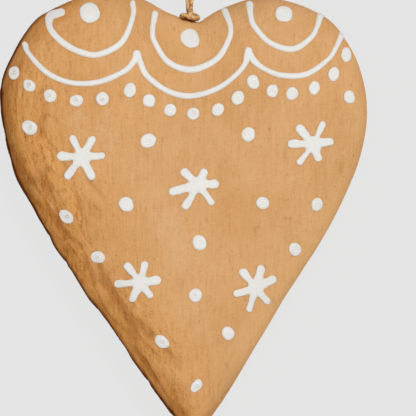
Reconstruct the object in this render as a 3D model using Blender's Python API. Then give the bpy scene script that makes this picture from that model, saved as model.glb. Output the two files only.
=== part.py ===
"""Papier-mache heart ornament, lying on its back with its painted front up.

The heart is a puffy, closed paper shell with raised white paint on its front:
scalloped arcs, rows of dots and six-armed snowflakes.  A doubled cord comes
out of a small hole in the notch, through a knot, and lies as a loose loop.
Metres, +Z up, the tip of the heart towards -Y, its lobes towards +Y.
"""
import math

import bmesh
import bpy
import numpy as np
from mathutils import Vector
from mathutils.geometry import interpolate_bezier

MM = 0.001

# Driving sizes of the heart
HEART_WIDTH = 83.8 * MM
HEART_LENGTH = 100.0 * MM
FRONT_RISE = 12.5 * MM
BACK_RISE = 10.0 * MM
REST_SPOT_CUT = 0.12 * MM
FRONT_FULLNESS = 2.3
BACK_FULLNESS = 2.1

# The raised white paint
PAINT_RELIEF = 0.5 * MM
PAINT_GAP = 0.32 * MM
STROKE_WIDTH = 1.4 * MM
SNOWFLAKE_ARM_WIDTH = 1.9 * MM
BIG_DOT_SIZE = 4.3 * MM
ROW_DOT_SIZE = 3.0 * MM
LOOSE_DOT_SIZE = 3.3 * MM

# The cord, its knot and the hole that holds it
CORD_DIAMETER = 1.1 * MM
CORD_PAIR_SPACING = 1.15 * MM
CORD_LYING_HEIGHT = CORD_DIAMETER / 2 + 0.01 * MM
CORD_HOLE_CLEARANCE = 0.25 * MM
CORD_HOLE_DEPTH = 5.0 * MM
KNOT_WIDTH = 4.4 * MM
KNOT_HEIGHT = 2.3 * MM
KNOT_THICKNESS = 2.9 * MM
KNOT_LIFT = 1.9 * MM
KNOT_SIDE_SHIFT = -0.5 * MM
KNOT_STANDOFF = 0.6 * MM

# Mesh fineness
OUTLINE_STEPS = 11
DOT_SIDES = 11
STROKE_END_SIDES = 4
SNOWFLAKE_TIP_SIDES = 3
STROKE_STEP = 1.8 * MM
CORD_STEP = 3.0 * MM
NORMAL_STEP = 0.05 * MM

# The heart's outline as a closed Bezier curve, clockwise from the notch: each
# anchor, its leaving handle and its arriving handle, as shares of the length.
OUTLINE_ANCHORS = (
    ((0.018, 0.432), (-0.057, 0.024), (0.061, 0.009)),
    ((-0.179, 0.499), (-0.150, 0.000), (0.096, 0.000)),
    ((-0.419, 0.274), (0.000, -0.120), (0.000, 0.070)),
    ((-0.268, -0.119), (0.139, -0.195), (-0.108, 0.152)),
    ((0.012, -0.501), (0.065, 0.000), (-0.026, 0.000)),
    ((0.281, -0.119), (0.048, 0.069), (-0.138, -0.197)),
    ((0.419, 0.227), (0.000, 0.205), (0.000, -0.115)),
    ((0.180, 0.489), (-0.075, 0.000), (0.067, 0.000)),
)

# Rings of the body as shares of the way out from the crown to the rim
FRONT_RINGS = (0.994, 0.982, 0.962, 0.932, 0.885, 0.81, 0.70, 0.55, 0.38, 0.18)
BACK_RINGS = (0.993, 0.975, 0.94, 0.87, 0.75, 0.58, 0.38)
CROWN = (0.0, 0.10)

# A bead of paint: how far its side has leaned in, and how high it stands
BEAD_PROFILE = ((0.0, 0.0), (0.06, 0.55), (0.42, 0.92))

# Strokes of paint, each through a few points: shares of the half width and
# the half length, from the middle of the heart
INNER_ARCS = {
    "left": ((-0.676, 0.912), (-0.727, 0.893), (-0.735, 0.845), (-0.69, 0.795),
             (-0.605, 0.75), (-0.49, 0.722), (-0.37, 0.75), (-0.315, 0.81),
             (-0.278, 0.905), (-0.284, 0.955)),
    "middle": ((-0.156, 0.915), (-0.170, 0.83), (-0.156, 0.77), (-0.082, 0.685),
               (0.044, 0.653), (0.180, 0.698), (0.248, 0.79), (0.258, 0.85),
               (0.232, 0.915)),
    "right": ((0.360, 0.952), (0.366, 0.898), (0.384, 0.85), (0.47, 0.775),
              (0.595, 0.744), (0.695, 0.795), (0.728, 0.845), (0.735, 0.875)),
}
OUTER_ARCS = {
    "left": ((-0.863, 0.77), (-0.85, 0.728), (-0.754, 0.637), (-0.62, 0.593),
             (-0.47, 0.595), (-0.33, 0.647), (-0.268, 0.70)),
    "middle": ((-0.250, 0.727), (-0.2, 0.625), (-0.085, 0.552), (0.044, 0.532),
               (0.197, 0.573), (0.32, 0.663), (0.350, 0.738)),
    "right": ((0.372, 0.715), (0.437, 0.655), (0.535, 0.625), (0.675, 0.621),
              (0.790, 0.698), (0.828, 0.755), (0.838, 0.785)),
}

# Dots of paint: place as above, then length over breadth and the turn of the
# long way in degrees from +X
BIG_DOTS = (
    (-0.520, 0.915, 1.05, 35), (0.031, 0.798, 1.10, 45), (0.544, 0.909, 1.12, 35),
)
ROW_DOTS = (
    (-0.932, 0.641, 1.30, 85), (-0.848, 0.583, 1.15, 40), (-0.734, 0.536, 1.10, 40),
    (-0.590, 0.513, 1.12, 0), (-0.447, 0.522, 1.00, 0), (-0.298, 0.561, 1.20, 105),
    (-0.193, 0.513, 1.10, 75), (-0.077, 0.470, 1.00, 0), (0.050, 0.454, 1.05, 160),
    (0.184, 0.472, 1.15, 130), (0.293, 0.526, 1.20, 110), (0.377, 0.598, 1.20, 75),
    (0.481, 0.558, 1.15, 100), (0.589, 0.546, 1.08, 120), (0.710, 0.571, 1.15, 100),
    (0.816, 0.635, 1.28, 100), (0.880, 0.722, 1.45, 80), (0.902, 0.530, 1.22, 65),
)
LOOSE_DOTS = (
    (-0.842, 0.391, 1.20, 40), (-0.197, 0.330, 1.12, 15), (0.350, 0.359, 1.12, 110),
    (-0.317, 0.038, 1.14, 40), (0.428, 0.044, 1.00, 0), (0.725, 0.039, 1.20, 110),
    (-0.646, -0.018, 1.35, 45), (0.083, -0.137, 1.10, 65), (0.605, -0.167, 1.12, 80),
    (-0.471, -0.203, 1.20, 25), (0.062, -0.378, 1.06, 120), (0.237, -0.551, 1.08, 80),
    (-0.122, -0.591, 1.35, 40), (0.066, -0.792, 1.50, 60),
)

# Snowflakes: the middle, then the six arms' lengths in millimetres and their
# directions in degrees from +X
SNOWFLAKES = (
    (-0.557, 0.257, (5.1, 4.6, 4.7, 5.3, 5.7, 5.3), (5, 58, 120, 180, 237, 293)),
    (0.060, 0.125, (4.8, 3.7, 3.8, 5.3, 5.4, 5.4), (2, 53, 129, 196, 245, 311)),
    (0.705, 0.316, (4.0, 4.9, 4.7, 4.9, 5.7, 4.0), (6, 63, 131, 184, 238, 292)),
    (-0.235, -0.311, (4.0, 4.1, 4.7, 6.0, 5.2, 4.3), (6, 78, 131, 188, 246, 301)),
    (0.393, -0.338, (4.5, 4.6, 4.5, 4.9, 5.9, 4.7), (24, 73, 130, 202, 254, 311)),
)
SNOWFLAKE_TIP_SWELL = 1.12
SNOWFLAKE_WAIST = 0.86

# The loop's route beyond the knot: X, Y and the height above the table, in
# millimetres, from one strand of the knot round to the other
CORD_ROUTE = (
    (0.74, 46.5, 11.9), (0.70, 48.5, 11.5), (0.45, 51.3, 10.5), (-0.5, 54.7, 7.9),
    (-2.4, 58.5, 4.3), (-5.2, 62.9, 1.6), (-8.8, 67.9, 0.56), (-12.4, 73.7, 0.56),
    (-15.0, 80.2, 0.56), (-15.5, 87.0, 0.56), (-13.2, 93.2, 0.56), (-8.3, 97.9, 0.56),
    (-1.8, 100.4, 0.56), (5.3, 100.1, 0.56), (11.5, 96.9, 0.56), (16.0, 91.4, 0.56),
    (17.9, 84.5, 0.56), (16.6, 77.3, 0.56), (13.2, 70.6, 0.56), (9.4, 64.7, 1.1),
    (6.2, 59.9, 3.5), (3.9, 55.6, 7.0), (2.3, 51.6, 9.9), (1.80, 48.6, 11.0),
    (1.74, 46.5, 11.4),
)


def clear_objects():
    for old in list(bpy.data.objects):
        bpy.data.objects.remove(old, do_unlink=True)


def make_material(name, colour, roughness):
    material = bpy.data.materials.new(name)
    material.use_nodes = True
    shader = material.node_tree.nodes["Principled BSDF"]
    shader.inputs["Base Color"].default_value = (*colour, 1.0)
    shader.inputs["Roughness"].default_value = roughness
    shader.inputs["Metallic"].default_value = 0.0
    return material


def new_object(name, data, material, collection):
    made = bpy.data.objects.new(name, data)
    made.data.materials.append(material)
    collection.objects.link(made)
    return made


def mesh_object(name, bm, material, collection):
    bmesh.ops.recalc_face_normals(bm, faces=bm.faces)
    mesh = bpy.data.meshes.new(name)
    bm.to_mesh(mesh)
    bm.free()
    mesh.shade_smooth()
    mesh.set_sharp_from_angle(angle=math.radians(40))
    return new_object(name, mesh, material, collection)


def heart_outline():
    """The rim's points in metres, in order, with the notch first."""
    points = []
    for index, (anchor, leaving, _) in enumerate(OUTLINE_ANCHORS):
        following, _, arriving = OUTLINE_ANCHORS[(index + 1) % len(OUTLINE_ANCHORS)]
        corners = (
            Vector(anchor),
            Vector(anchor) + Vector(leaving),
            Vector(following) + Vector(arriving),
            Vector(following),
        )
        points += [tuple(p) for p in interpolate_bezier(*corners, OUTLINE_STEPS + 1)[:-1]]
    outline = np.array(points)
    outline -= (outline.max(axis=0) + outline.min(axis=0)) / 2
    spans = outline.max(axis=0) - outline.min(axis=0)
    return outline / spans * (HEART_WIDTH, HEART_LENGTH)


class HeartForm:
    """The heart's front and back as heights over the rim's own level."""

    def __init__(self):
        self.outline = heart_outline()
        self.crown = np.array(CROWN) * (HEART_WIDTH, HEART_LENGTH) / 2
        self.full_depth = self.way_in(*self.crown)
        self.rim_level = BACK_RISE - REST_SPOT_CUT

    def way_in(self, x, y):
        """A smooth measure of how far a point lies inside the outline."""
        place = np.array((x, y))
        near = self.outline - place
        far = np.roll(self.outline, -1, axis=0) - place
        edge = far - near
        run = np.linalg.norm(edge, axis=1)
        along = edge / run[:, None]
        offset = (near[:, 0] * along[:, 1] - near[:, 1] * along[:, 0]) ** 2
        offset = np.maximum(offset, (1e-3 * MM) ** 2)
        start = (near * along).sum(axis=1)
        end = (far * along).sum(axis=1)
        pull = (end / np.sqrt(offset + end ** 2) - start / np.sqrt(offset + start ** 2)) / offset
        return math.sqrt(2.0 / pull.sum())

    def swell(self, x, y, fullness):
        """0 on the rim and 1 over the crown, round at the rim, flat in the middle."""
        share = min(self.way_in(x, y) / self.full_depth, 1.0)
        return (1.0 - (1.0 - share) ** fullness) ** (1.0 / fullness)

    def front(self, x, y):
        return self.rim_level + FRONT_RISE * self.swell(x, y, FRONT_FULLNESS)

    def back(self, x, y):
        return max(self.rim_level - BACK_RISE * self.swell(x, y, BACK_FULLNESS), 0.0)

    def over_front(self, x, y, lift):
        """A point that stands off the front by lift, square to the surface."""
        step = NORMAL_STEP
        slope_x = (self.front(x + step, y) - self.front(x - step, y)) / (2 * step)
        slope_y = (self.front(x, y + step) - self.front(x, y - step)) / (2 * step)
        normal = Vector((-slope_x, -slope_y, 1.0)).normalized()
        return Vector((x, y, self.front(x, y))) + normal * lift

    def place(self, across, along):
        """A point given as shares of the half width and the half length."""
        return np.array((across * HEART_WIDTH, along * HEART_LENGTH)) / 2


def cord_hole_cutter(form, collection):
    """A short round hole into the notch, along the heart's length."""
    radius = CORD_PAIR_SPACING / 2 + CORD_DIAMETER / 2 + CORD_HOLE_CLEARANCE
    notch = form.outline[0]
    length = CORD_HOLE_DEPTH * 2
    bm = bmesh.new()
    bmesh.ops.create_cone(
        bm, cap_ends=True, segments=12, radius1=radius, radius2=radius, depth=length)
    mesh = bpy.data.meshes.new("cord_hole_cutter")
    bm.to_mesh(mesh)
    bm.free()
    cutter = bpy.data.objects.new("cord_hole_cutter", mesh)
    cutter.rotation_euler.x = math.radians(90)
    cutter.location = (notch[0], notch[1], form.rim_level)
    cutter.hide_render = True
    cutter.display_type = "WIRE"
    collection.objects.link(cutter)
    return cutter


def add_ring(bm, form, share, height):
    ring = []
    for point in form.outline:
        x, y = form.crown + (point - form.crown) * share
        ring.append(bm.verts.new((x, y, height(x, y))))
    return ring


def join_rings(bm, first, second):
    count = len(first)
    for index in range(count):
        after = (index + 1) % count
        bm.faces.new((first[index], first[after], second[after], second[index]))


def close_ring(bm, ring, height, form):
    top = bm.verts.new((*form.crown, height(*form.crown)))
    count = len(ring)
    for index in range(count):
        bm.faces.new((ring[index], ring[(index + 1) % count], top))


def heart_body(form, material, collection, cutters):
    """Rings drawn in from the rim to the crown, over the front and the back."""
    bm = bmesh.new()
    rim = add_ring(bm, form, 1.0, lambda x, y: form.rim_level)
    for shares, height in ((FRONT_RINGS, form.front), (BACK_RINGS, form.back)):
        previous = rim
        for share in shares:
            ring = add_ring(bm, form, share, height)
            join_rings(bm, previous, ring)
            previous = ring
        close_ring(bm, previous, height, form)
    body = mesh_object("heart_body", bm, material, collection)
    hole = body.modifiers.new("cord_hole", "BOOLEAN")
    hole.operation = "DIFFERENCE"
    hole.object = cord_hole_cutter(form, cutters)
    return body


def paint_bead(name, rim, spine, form, material, collection):
    """A low domed bead of paint over the front: its rim's points each lean in to their own spine point."""
    bm = bmesh.new()
    rim = np.array(rim)
    spine = np.array(spine)

    def ring(lean, rise):
        made = []
        for x, y in rim + (spine - rim) * lean:
            made.append(bm.verts.new(form.over_front(x, y, PAINT_GAP + PAINT_RELIEF * rise)))
        return made

    rings = [ring(lean, rise) for lean, rise in BEAD_PROFILE]
    for lower, upper in zip(rings, rings[1:]):
        join_rings(bm, lower, upper)
    join_rings(bm, rings[-1], ring(1.0, 1.0))
    join_rings(bm, rings[0], ring(1.0, 0.0))
    bmesh.ops.remove_doubles(bm, verts=bm.verts, dist=1e-3 * MM)
    return mesh_object(name, bm, material, collection)


def paint_dot(name, spot, size, form, material, collection):
    across, along, stretch, turn = spot
    middle = form.place(across, along)
    turn = math.radians(turn)
    long_way = np.array((math.cos(turn), math.sin(turn))) * size / 2 * math.sqrt(stretch)
    short_way = np.array((-math.sin(turn), math.cos(turn))) * size / 2 / math.sqrt(stretch)
    rim = []
    for side in range(DOT_SIDES):
        angle = 2 * math.pi * side / DOT_SIDES
        rim.append(middle + long_way * math.cos(angle) + short_way * math.sin(angle))
    return paint_bead(name, rim, [middle] * DOT_SIDES, form, material, collection)


def smooth_path(points, step):
    """Points every step along a curve that passes through the given ones."""
    points = np.array(points)
    ends = (2 * points[0] - points[1], 2 * points[-1] - points[-2])
    padded = np.vstack((ends[0], points, ends[1]))
    fine = []
    for index in range(1, len(padded) - 2):
        a, b, c, d = padded[index - 1:index + 3]
        for t in np.linspace(0, 1, 12, endpoint=False):
            fine.append(0.5 * (2 * b + (c - a) * t + (2 * a - 5 * b + 4 * c - d) * t ** 2
                               + (3 * b - a - 3 * c + d) * t ** 3))
    fine.append(points[-1])
    fine = np.array(fine)
    lengths = np.concatenate(((0,), np.cumsum(np.linalg.norm(np.diff(fine, axis=0), axis=1))))
    count = max(2, round(lengths[-1] / step) + 1)
    wanted = np.linspace(0, lengths[-1], count)
    return np.column_stack([np.interp(wanted, lengths, axis) for axis in fine.T])


def half_round(centre, heading, radius, sides):
    """Points of a round end, from its left side to its right."""
    points = []
    for side in range(1, sides):
        angle = math.pi / 2 - math.pi * side / sides
        turned = np.array((
            heading[0] * math.cos(angle) - heading[1] * math.sin(angle),
            heading[0] * math.sin(angle) + heading[1] * math.cos(angle)))
        points.append(centre + turned * radius)
    return points


def paint_stroke(name, shares, form, material, collection):
    """A stroke of paint along a curve, with round ends."""
    path = smooth_path([form.place(*share) for share in shares], STROKE_STEP)
    heading = np.gradient(path, axis=0)
    heading /= np.linalg.norm(heading, axis=1)[:, None]
    left = np.column_stack((-heading[:, 1], heading[:, 0])) * STROKE_WIDTH / 2
    rim = []
    spine = []
    rim += list(path + left)
    spine += list(path)
    end_cap = half_round(path[-1], heading[-1], STROKE_WIDTH / 2, STROKE_END_SIDES)
    rim += end_cap
    spine += [path[-1]] * len(end_cap)
    rim += list((path - left)[::-1])
    spine += list(path[::-1])
    start_cap = half_round(path[0], -heading[0], STROKE_WIDTH / 2, STROKE_END_SIDES)
    rim += start_cap
    spine += [path[0]] * len(start_cap)
    return paint_bead(name, rim, spine, form, material, collection)


def paint_scallop(name, strokes, form, material, collection, cutters):
    """The first stroke, with the others, which run into its ends, joined to it."""
    first, *others = strokes
    scallop = paint_stroke(name, first, form, material, collection)
    for number, shares in enumerate(others, start=1):
        other = paint_stroke(f"{name}_stroke_{number}", shares, form, material, cutters)
        other.hide_render = True
        other.display_type = "WIRE"
        join = scallop.modifiers.new(f"join_{number}", "BOOLEAN")
        join.operation = "UNION"
        join.object = other
    return scallop


def paint_snowflake(name, flake, form, material, collection):
    """Six strokes out of one middle, with the joints between them filled."""
    across, along, lengths, directions = flake
    middle = form.place(across, along)
    angles = [math.radians(direction) for direction in directions]
    half = SNOWFLAKE_ARM_WIDTH / 2
    rim = []
    spine = []
    for index, (length, angle) in enumerate(zip(lengths, angles)):
        heading = np.array((math.cos(angle), math.sin(angle)))
        left = np.array((-heading[1], heading[0])) * half
        reach = length * MM - half
        tip = middle + heading * reach
        waist = middle + heading * reach * 0.55
        rim += [waist - left * SNOWFLAKE_WAIST, tip - left * SNOWFLAKE_TIP_SWELL]
        spine += [waist, tip]
        cap = half_round(tip, heading, half * SNOWFLAKE_TIP_SWELL, SNOWFLAKE_TIP_SIDES)[::-1]
        rim += cap
        spine += [tip] * len(cap)
        rim += [tip + left * SNOWFLAKE_TIP_SWELL, waist + left * SNOWFLAKE_WAIST]
        spine += [tip, waist]
        following = angles[(index + 1) % len(angles)]
        spread = (following - angle) % (2 * math.pi)
        bisector = angle + spread / 2
        corner = half * SNOWFLAKE_WAIST / math.sin(spread / 2) * 1.08
        rim.append(middle + corner * np.array((math.cos(bisector), math.sin(bisector))))
        spine.append(middle)
    return paint_bead(name, rim, spine, form, material, collection)


def hanging_knot(form, material, collection):
    """A tight overhand knot: two rounded lobes with one wrap round the middle."""
    notch = form.outline[0]
    centre = Vector((
        notch[0] + KNOT_SIDE_SHIFT,
        notch[1] + KNOT_STANDOFF + KNOT_HEIGHT / 2,
        form.rim_level + KNOT_LIFT))
    bm = bmesh.new()
    bmesh.ops.create_uvsphere(bm, u_segments=16, v_segments=10, radius=0.5)
    for vert in bm.verts:
        x, y, z = vert.co
        waist = 1.0 - 0.22 * math.exp(-(x / 0.16) ** 2)
        ridge = 1.0 + 0.10 * math.cos(3 * math.atan2(z, y) + 5.0 * x)
        vert.co = (
            x * KNOT_WIDTH,
            y * KNOT_HEIGHT * waist * ridge,
            z * KNOT_THICKNESS * waist * ridge,
        )
    bmesh.ops.translate(bm, verts=bm.verts, vec=centre)
    return mesh_object("hanging_knot", bm, material, collection)


def hanging_cord(material, collection):
    """The free loop, both of its ends at the knot's upper side, nowhere lower than the table."""
    route = smooth_path(np.array(CORD_ROUTE) * MM, CORD_STEP)
    route[:, 2] = np.maximum(route[:, 2], CORD_LYING_HEIGHT)
    curve = bpy.data.curves.new("hanging_cord", "CURVE")
    curve.dimensions = "3D"
    curve.bevel_depth = CORD_DIAMETER / 2
    curve.bevel_resolution = 2
    curve.use_fill_caps = True
    line = curve.splines.new("POLY")
    line.points.add(len(route) - 1)
    for point, place in zip(line.points, route):
        point.co = (*place, 1.0)
    return new_object("hanging_cord", curve, material, collection)


def main():
    clear_objects()
    scene = bpy.context.scene
    ornament = bpy.data.collections.new("papier_mache_heart")
    cutters = bpy.data.collections.new("cutters")
    scene.collection.children.link(ornament)
    scene.collection.children.link(cutters)

    paper = make_material("ginger_brown_paint", (0.62, 0.33, 0.15), 0.55)
    white = make_material("raised_white_paint", (0.82, 0.81, 0.76), 0.5)
    cotton = make_material("tan_cord", (0.50, 0.30, 0.13), 0.7)

    form = HeartForm()
    heart_body(form, paper, ornament, cutters)
    for side, shares in INNER_ARCS.items():
        paint_stroke(f"inner_arc_{side}", shares, form, white, ornament)
    strokes = [OUTER_ARCS[side] for side in ("middle", "left", "right")]
    paint_scallop("outer_scallop", strokes, form, white, ornament, cutters)
    for spots, size, name in (
        (BIG_DOTS, BIG_DOT_SIZE, "big_dot"),
        (ROW_DOTS, ROW_DOT_SIZE, "row_dot"),
        (LOOSE_DOTS, LOOSE_DOT_SIZE, "loose_dot"),
    ):
        for number, spot in enumerate(spots, start=1):
            paint_dot(f"{name}_{number:02d}", spot, size, form, white, ornament)
    for number, flake in enumerate(SNOWFLAKES, start=1):
        paint_snowflake(f"snowflake_{number}", flake, form, white, ornament)
    hanging_knot(form, cotton, ornament)
    hanging_cord(cotton, ornament)


main()
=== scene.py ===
"""The papier-mache heart ornament's looks: brushed ginger paint, raised white paint, waxed cord."""
import math

import bmesh
import bpy
import numpy as np
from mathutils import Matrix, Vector, noise
from mathutils.geometry import interpolate_bezier


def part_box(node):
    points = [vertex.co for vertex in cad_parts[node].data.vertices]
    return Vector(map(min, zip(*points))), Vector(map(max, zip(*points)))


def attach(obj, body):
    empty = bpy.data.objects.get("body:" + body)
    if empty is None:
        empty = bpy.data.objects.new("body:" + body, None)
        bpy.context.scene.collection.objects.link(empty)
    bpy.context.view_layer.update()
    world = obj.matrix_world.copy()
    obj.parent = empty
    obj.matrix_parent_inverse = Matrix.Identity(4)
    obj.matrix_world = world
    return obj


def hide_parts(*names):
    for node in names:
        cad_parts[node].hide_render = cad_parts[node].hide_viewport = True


MM = 0.001
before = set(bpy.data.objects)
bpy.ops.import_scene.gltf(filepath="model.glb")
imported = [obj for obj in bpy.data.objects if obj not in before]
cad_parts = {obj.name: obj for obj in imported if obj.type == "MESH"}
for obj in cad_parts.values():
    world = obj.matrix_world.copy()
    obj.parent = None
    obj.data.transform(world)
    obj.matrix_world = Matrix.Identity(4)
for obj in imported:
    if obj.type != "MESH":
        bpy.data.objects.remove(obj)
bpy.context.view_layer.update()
BODY_LOW, BODY_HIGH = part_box("heart_body")

# Sizes of the heart, as its solid has them
HEART_WIDTH = BODY_HIGH[0] - BODY_LOW[0]
HEART_LENGTH = BODY_HIGH[1] - BODY_LOW[1]
FRONT_RISE = 12.5 * MM
BACK_RISE = 10.0 * MM
REST_SPOT_CUT = 0.12 * MM
RIM_LEVEL = BACK_RISE - REST_SPOT_CUT
FRONT_FULLNESS = 2.3
BACK_FULLNESS = 2.1
CROWN = (0.0, 0.10)
OUTLINE_STEPS = 24
OUTLINE_ANCHORS = (
    ((0.018, 0.432), (-0.057, 0.024), (0.061, 0.009)),
    ((-0.179, 0.499), (-0.150, 0.000), (0.096, 0.000)),
    ((-0.419, 0.274), (0.000, -0.120), (0.000, 0.070)),
    ((-0.268, -0.119), (0.139, -0.195), (-0.108, 0.152)),
    ((0.012, -0.501), (0.065, 0.000), (-0.026, 0.000)),
    ((0.281, -0.119), (0.048, 0.069), (-0.138, -0.197)),
    ((0.419, 0.227), (0.000, 0.205), (0.000, -0.115)),
    ((0.180, 0.489), (-0.075, 0.000), (0.067, 0.000)),
)

# What the heart's vertices tell its paint, each from 0 to 1: how folded the skin is,
# then painted shade in valleys, painted highlight on ridges, painted shade at the
# rim and painted light
HEART_MARKS = ("folded", "valley", "ridge", "rim", "pale")

# Mesh fineness
SKIN_CELLS = 220
CHART_STEP = 0.25 * MM
STROKE_SIDES = 24
STROKE_END_RINGS = 7
DOT_SIDES = 40
DOT_RINGS = 20
FLAKE_SIDES = 360
FLAKE_RINGS = 24
SOLE_RINGS = 4
CORD_SIDES = 20
CORD_END_RINGS = 5

# How many places are worked on at a time, to spare memory
BATCH = 4096

# The papered skin: how far its lumps, folds, wrinkles and pits stand in or out
LUMP_DEPTH = 0.20 * MM
FOLD_DEPTH = 0.34 * MM
CREASE_DEPTH = 0.28 * MM
WRINKLE_DEPTH = 0.07 * MM
PIT_DEPTH = 0.16 * MM

# Painted shade: the paint is darkened near the rim where it faces this way, on the
# heart's shaded left side: a thin dark line, a broad shade and a faint one, each
# fading from one depth inside the rim to another, in mm, and all of them coming
# in between two levels over the floor
RIM_SHADE_WAY = (-0.97, -0.25)
RIM_LINE = 0.78
RIM_LINE_REACH = (0.12, 0.9)
BROAD_SHADE_REACH = (0.4, 4.2)
FAINT_SHADE = 0.07
FAINT_SHADE_REACH = (2.0, 8.0)
SHADE_LEVELS = (7.4, 10.6)

# The broad shade at the tip, then how it changes from one Y to another, in mm
BROAD_SHADE = 0.37
BROAD_SHADE_STEPS = ((-46, -32, -0.25), (-7, 7, 0.42), (24, 38, -0.16))

# Painted light: the paint is made paler near the rim where it faces this way, to
# lift that rim as bright as the front, with the same kinds of reach and of steps,
# and only beyond the tip, where it comes in between two Y
PALE_WAY = (0.90, -0.44)
PALE_REACH = (0.0, 7.0)
PALE_SHARE = 0.95
PALE_STEPS = ((-8, 24, -0.6),)
PALE_TIP = (-42, -27)

# The hole in the notch that the cord comes out of
CORD_HOLE_RADIUS = 0.95 * MM
CORD_HOLE_RISE = 1.0 * MM
CORD_HOLE_STRETCH = 1.7
CORD_HOLE_DEPTH = 4.5 * MM

# White paint: its height and edge, its rings and stains, the shape of the drops
# and flakes, and the seeds of their unsteadiness
PAINT_LIFT = 0.10 * MM
PAINT_RELIEF = 0.28 * MM
PAINT_SINK = 0.25 * MM
PAINT_EDGE = 0.40 * MM
EDGE_LINE_SPACING = 0.52 * MM
RING_RELIEF = 0.085 * MM
RING_SPACING = 0.66 * MM
RING_REACH = 1.7 * MM
STAIN_RADIUS = 0.36 * MM
STAIN_BREADTH = 0.10 * MM
DOT_WOBBLE = 0.085
DOT_PEAK_SHIFT = 0.14
FLAKE_HUB = 1.45 * MM
FLAKE_BLEND = 0.28 * MM
FLAKE_REACH = (0.5 * MM, 8.0 * MM)
FUSE_VOXEL = 0.10 * MM
SCALLOP_SEED = 11
FIRST_DOT_SEED = 21
FIRST_FLAKE_SEED = 71

# Colours as a colour picker's levels: each base, then what is laid over it
GINGER = {
    "base": (225, 175, 123), "blotch": (217, 165, 111), "cloud": (209, 154, 98),
    "pale_cloud": (229, 182, 134), "pale_rim": (250, 197, 137), "folded": (243, 169, 86),
    "warm_rim": (246, 156, 60), "brush_line": (204, 142, 80), "brush_light": (234, 190, 145),
    "crease": (172, 98, 36), "crease_light": (252, 200, 138), "valley": (158, 84, 24),
    "ridge": (240, 184, 116), "dent": (186, 120, 58), "speck": (160, 98, 42),
    "scuff": (230, 190, 148), "freckle": (176, 116, 58), "dark_rim": (102, 48, 4),
}
WHITE = {
    "base": (241, 238, 234), "cloud": (236, 235, 229), "grain": (224, 221, 211),
    "thin_edge": (216, 200, 174), "stain": (158, 136, 100), "edge_line": (222, 219, 210),
}
TAN = {
    "base": (240, 190, 122), "stain": (158, 94, 38), "fibre": (252, 222, 172),
    "dark_fibre": (140, 86, 38), "groove": (112, 64, 22),
}

# Lights: the way to each sun in degrees from +X and up, its strength and breadth
STUDIO_GLOW = 0.50
FLOOR_GLOW = 0.737
SUNS = {"key": (68, 64, 1.10, 10), "side": (4, 24, 0.45, 22), "fill": (215, 35, 0.45, 40)}

# The camera looks straight down, over a place beside the heart's middle
VIEW_WIDTH = 95.1 * MM
VIEW_MIDDLE = (5.49 * MM, 0.97 * MM)
VIEW_DISTANCE = 2.5

# The front's skin is nearer to the camera than the rim, so paint that is
# placed where the camera sees it is drawn in a little towards the middle of the view
SIGHT_SHRINK = 0.994
SIGHT_DROP = 0.08 * MM

# The cord and its knot
CORD_DIAMETER = 1.1 * MM
CORD_LYING_HEIGHT = CORD_DIAMETER / 2 + 0.01 * MM
CORD_ROUTE = (
    (0.9, 46.5, 11.8), (0.76, 48.5, 11.5), (0.45, 51.3, 10.5), (-0.5, 54.7, 7.9),
    (-2.4, 58.5, 4.3), (-5.2, 62.9, 1.6), (-8.8, 67.9, 0.56), (-12.4, 73.7, 0.56),
    (-15.0, 80.2, 0.56), (-15.5, 87.0, 0.56), (-13.2, 93.2, 0.56), (-8.3, 97.9, 0.56),
    (-1.8, 100.4, 0.56), (5.3, 100.1, 0.56), (11.5, 96.9, 0.56), (16.0, 91.4, 0.56),
    (17.9, 84.5, 0.56), (16.6, 77.3, 0.56), (13.2, 70.6, 0.56), (9.4, 64.7, 1.1),
    (6.2, 59.9, 3.5), (3.9, 55.6, 7.0), (2.3, 51.6, 9.9), (1.74, 48.6, 11.0), (1.6, 46.5, 11.3),
)
CORD_END_TAPER = 3.0 * MM
CORD_END_RADIUS = 0.40 * MM
CORD_PLIES = 3
CORD_LAY = 5.0 * MM
CORD_GROOVE = 0.12
KNOT_STRAND_RADIUS = 0.60 * MM
KNOT_STRAND_THINNING = 0.22 * MM
KNOT_THINNING_REACH = 1.1 * MM
KNOT_LAY = 6.0 * MM
KNOT_GROOVE = 0.08
KNOT_WRAP = (
    (0.9, 47.0, 11.75), (0.95, 46.2, 11.4), (1.5, 45.4, 10.9), (2.5, 44.9, 10.8),
    (3.15, 44.5, 11.3), (2.95, 44.25, 12.0), (2.2, 44.35, 12.45), (1.3, 44.7, 12.85),
    (0.45, 44.95, 12.6), (-0.25, 44.9, 12.0), (-0.5, 44.7, 11.2), (0.05, 44.5, 10.6),
    (0.9, 44.4, 10.2), (1.5, 44.0, 9.7), (1.8, 43.0, 9.4), (1.9, 42.0, 9.4), (1.9, 40.6, 9.4),
)
KNOT_STRAND = (
    (1.6, 47.0, 11.25), (1.62, 46.2, 11.6), (1.5, 45.4, 12.4), (1.3, 44.8, 12.9),
    (1.22, 44.5, 12.5), (1.3, 44.45, 11.6), (1.6, 44.3, 10.7), (2.1, 43.4, 10.0),
    (2.5, 42.0, 9.7), (2.5, 40.6, 9.7),
)

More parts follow.
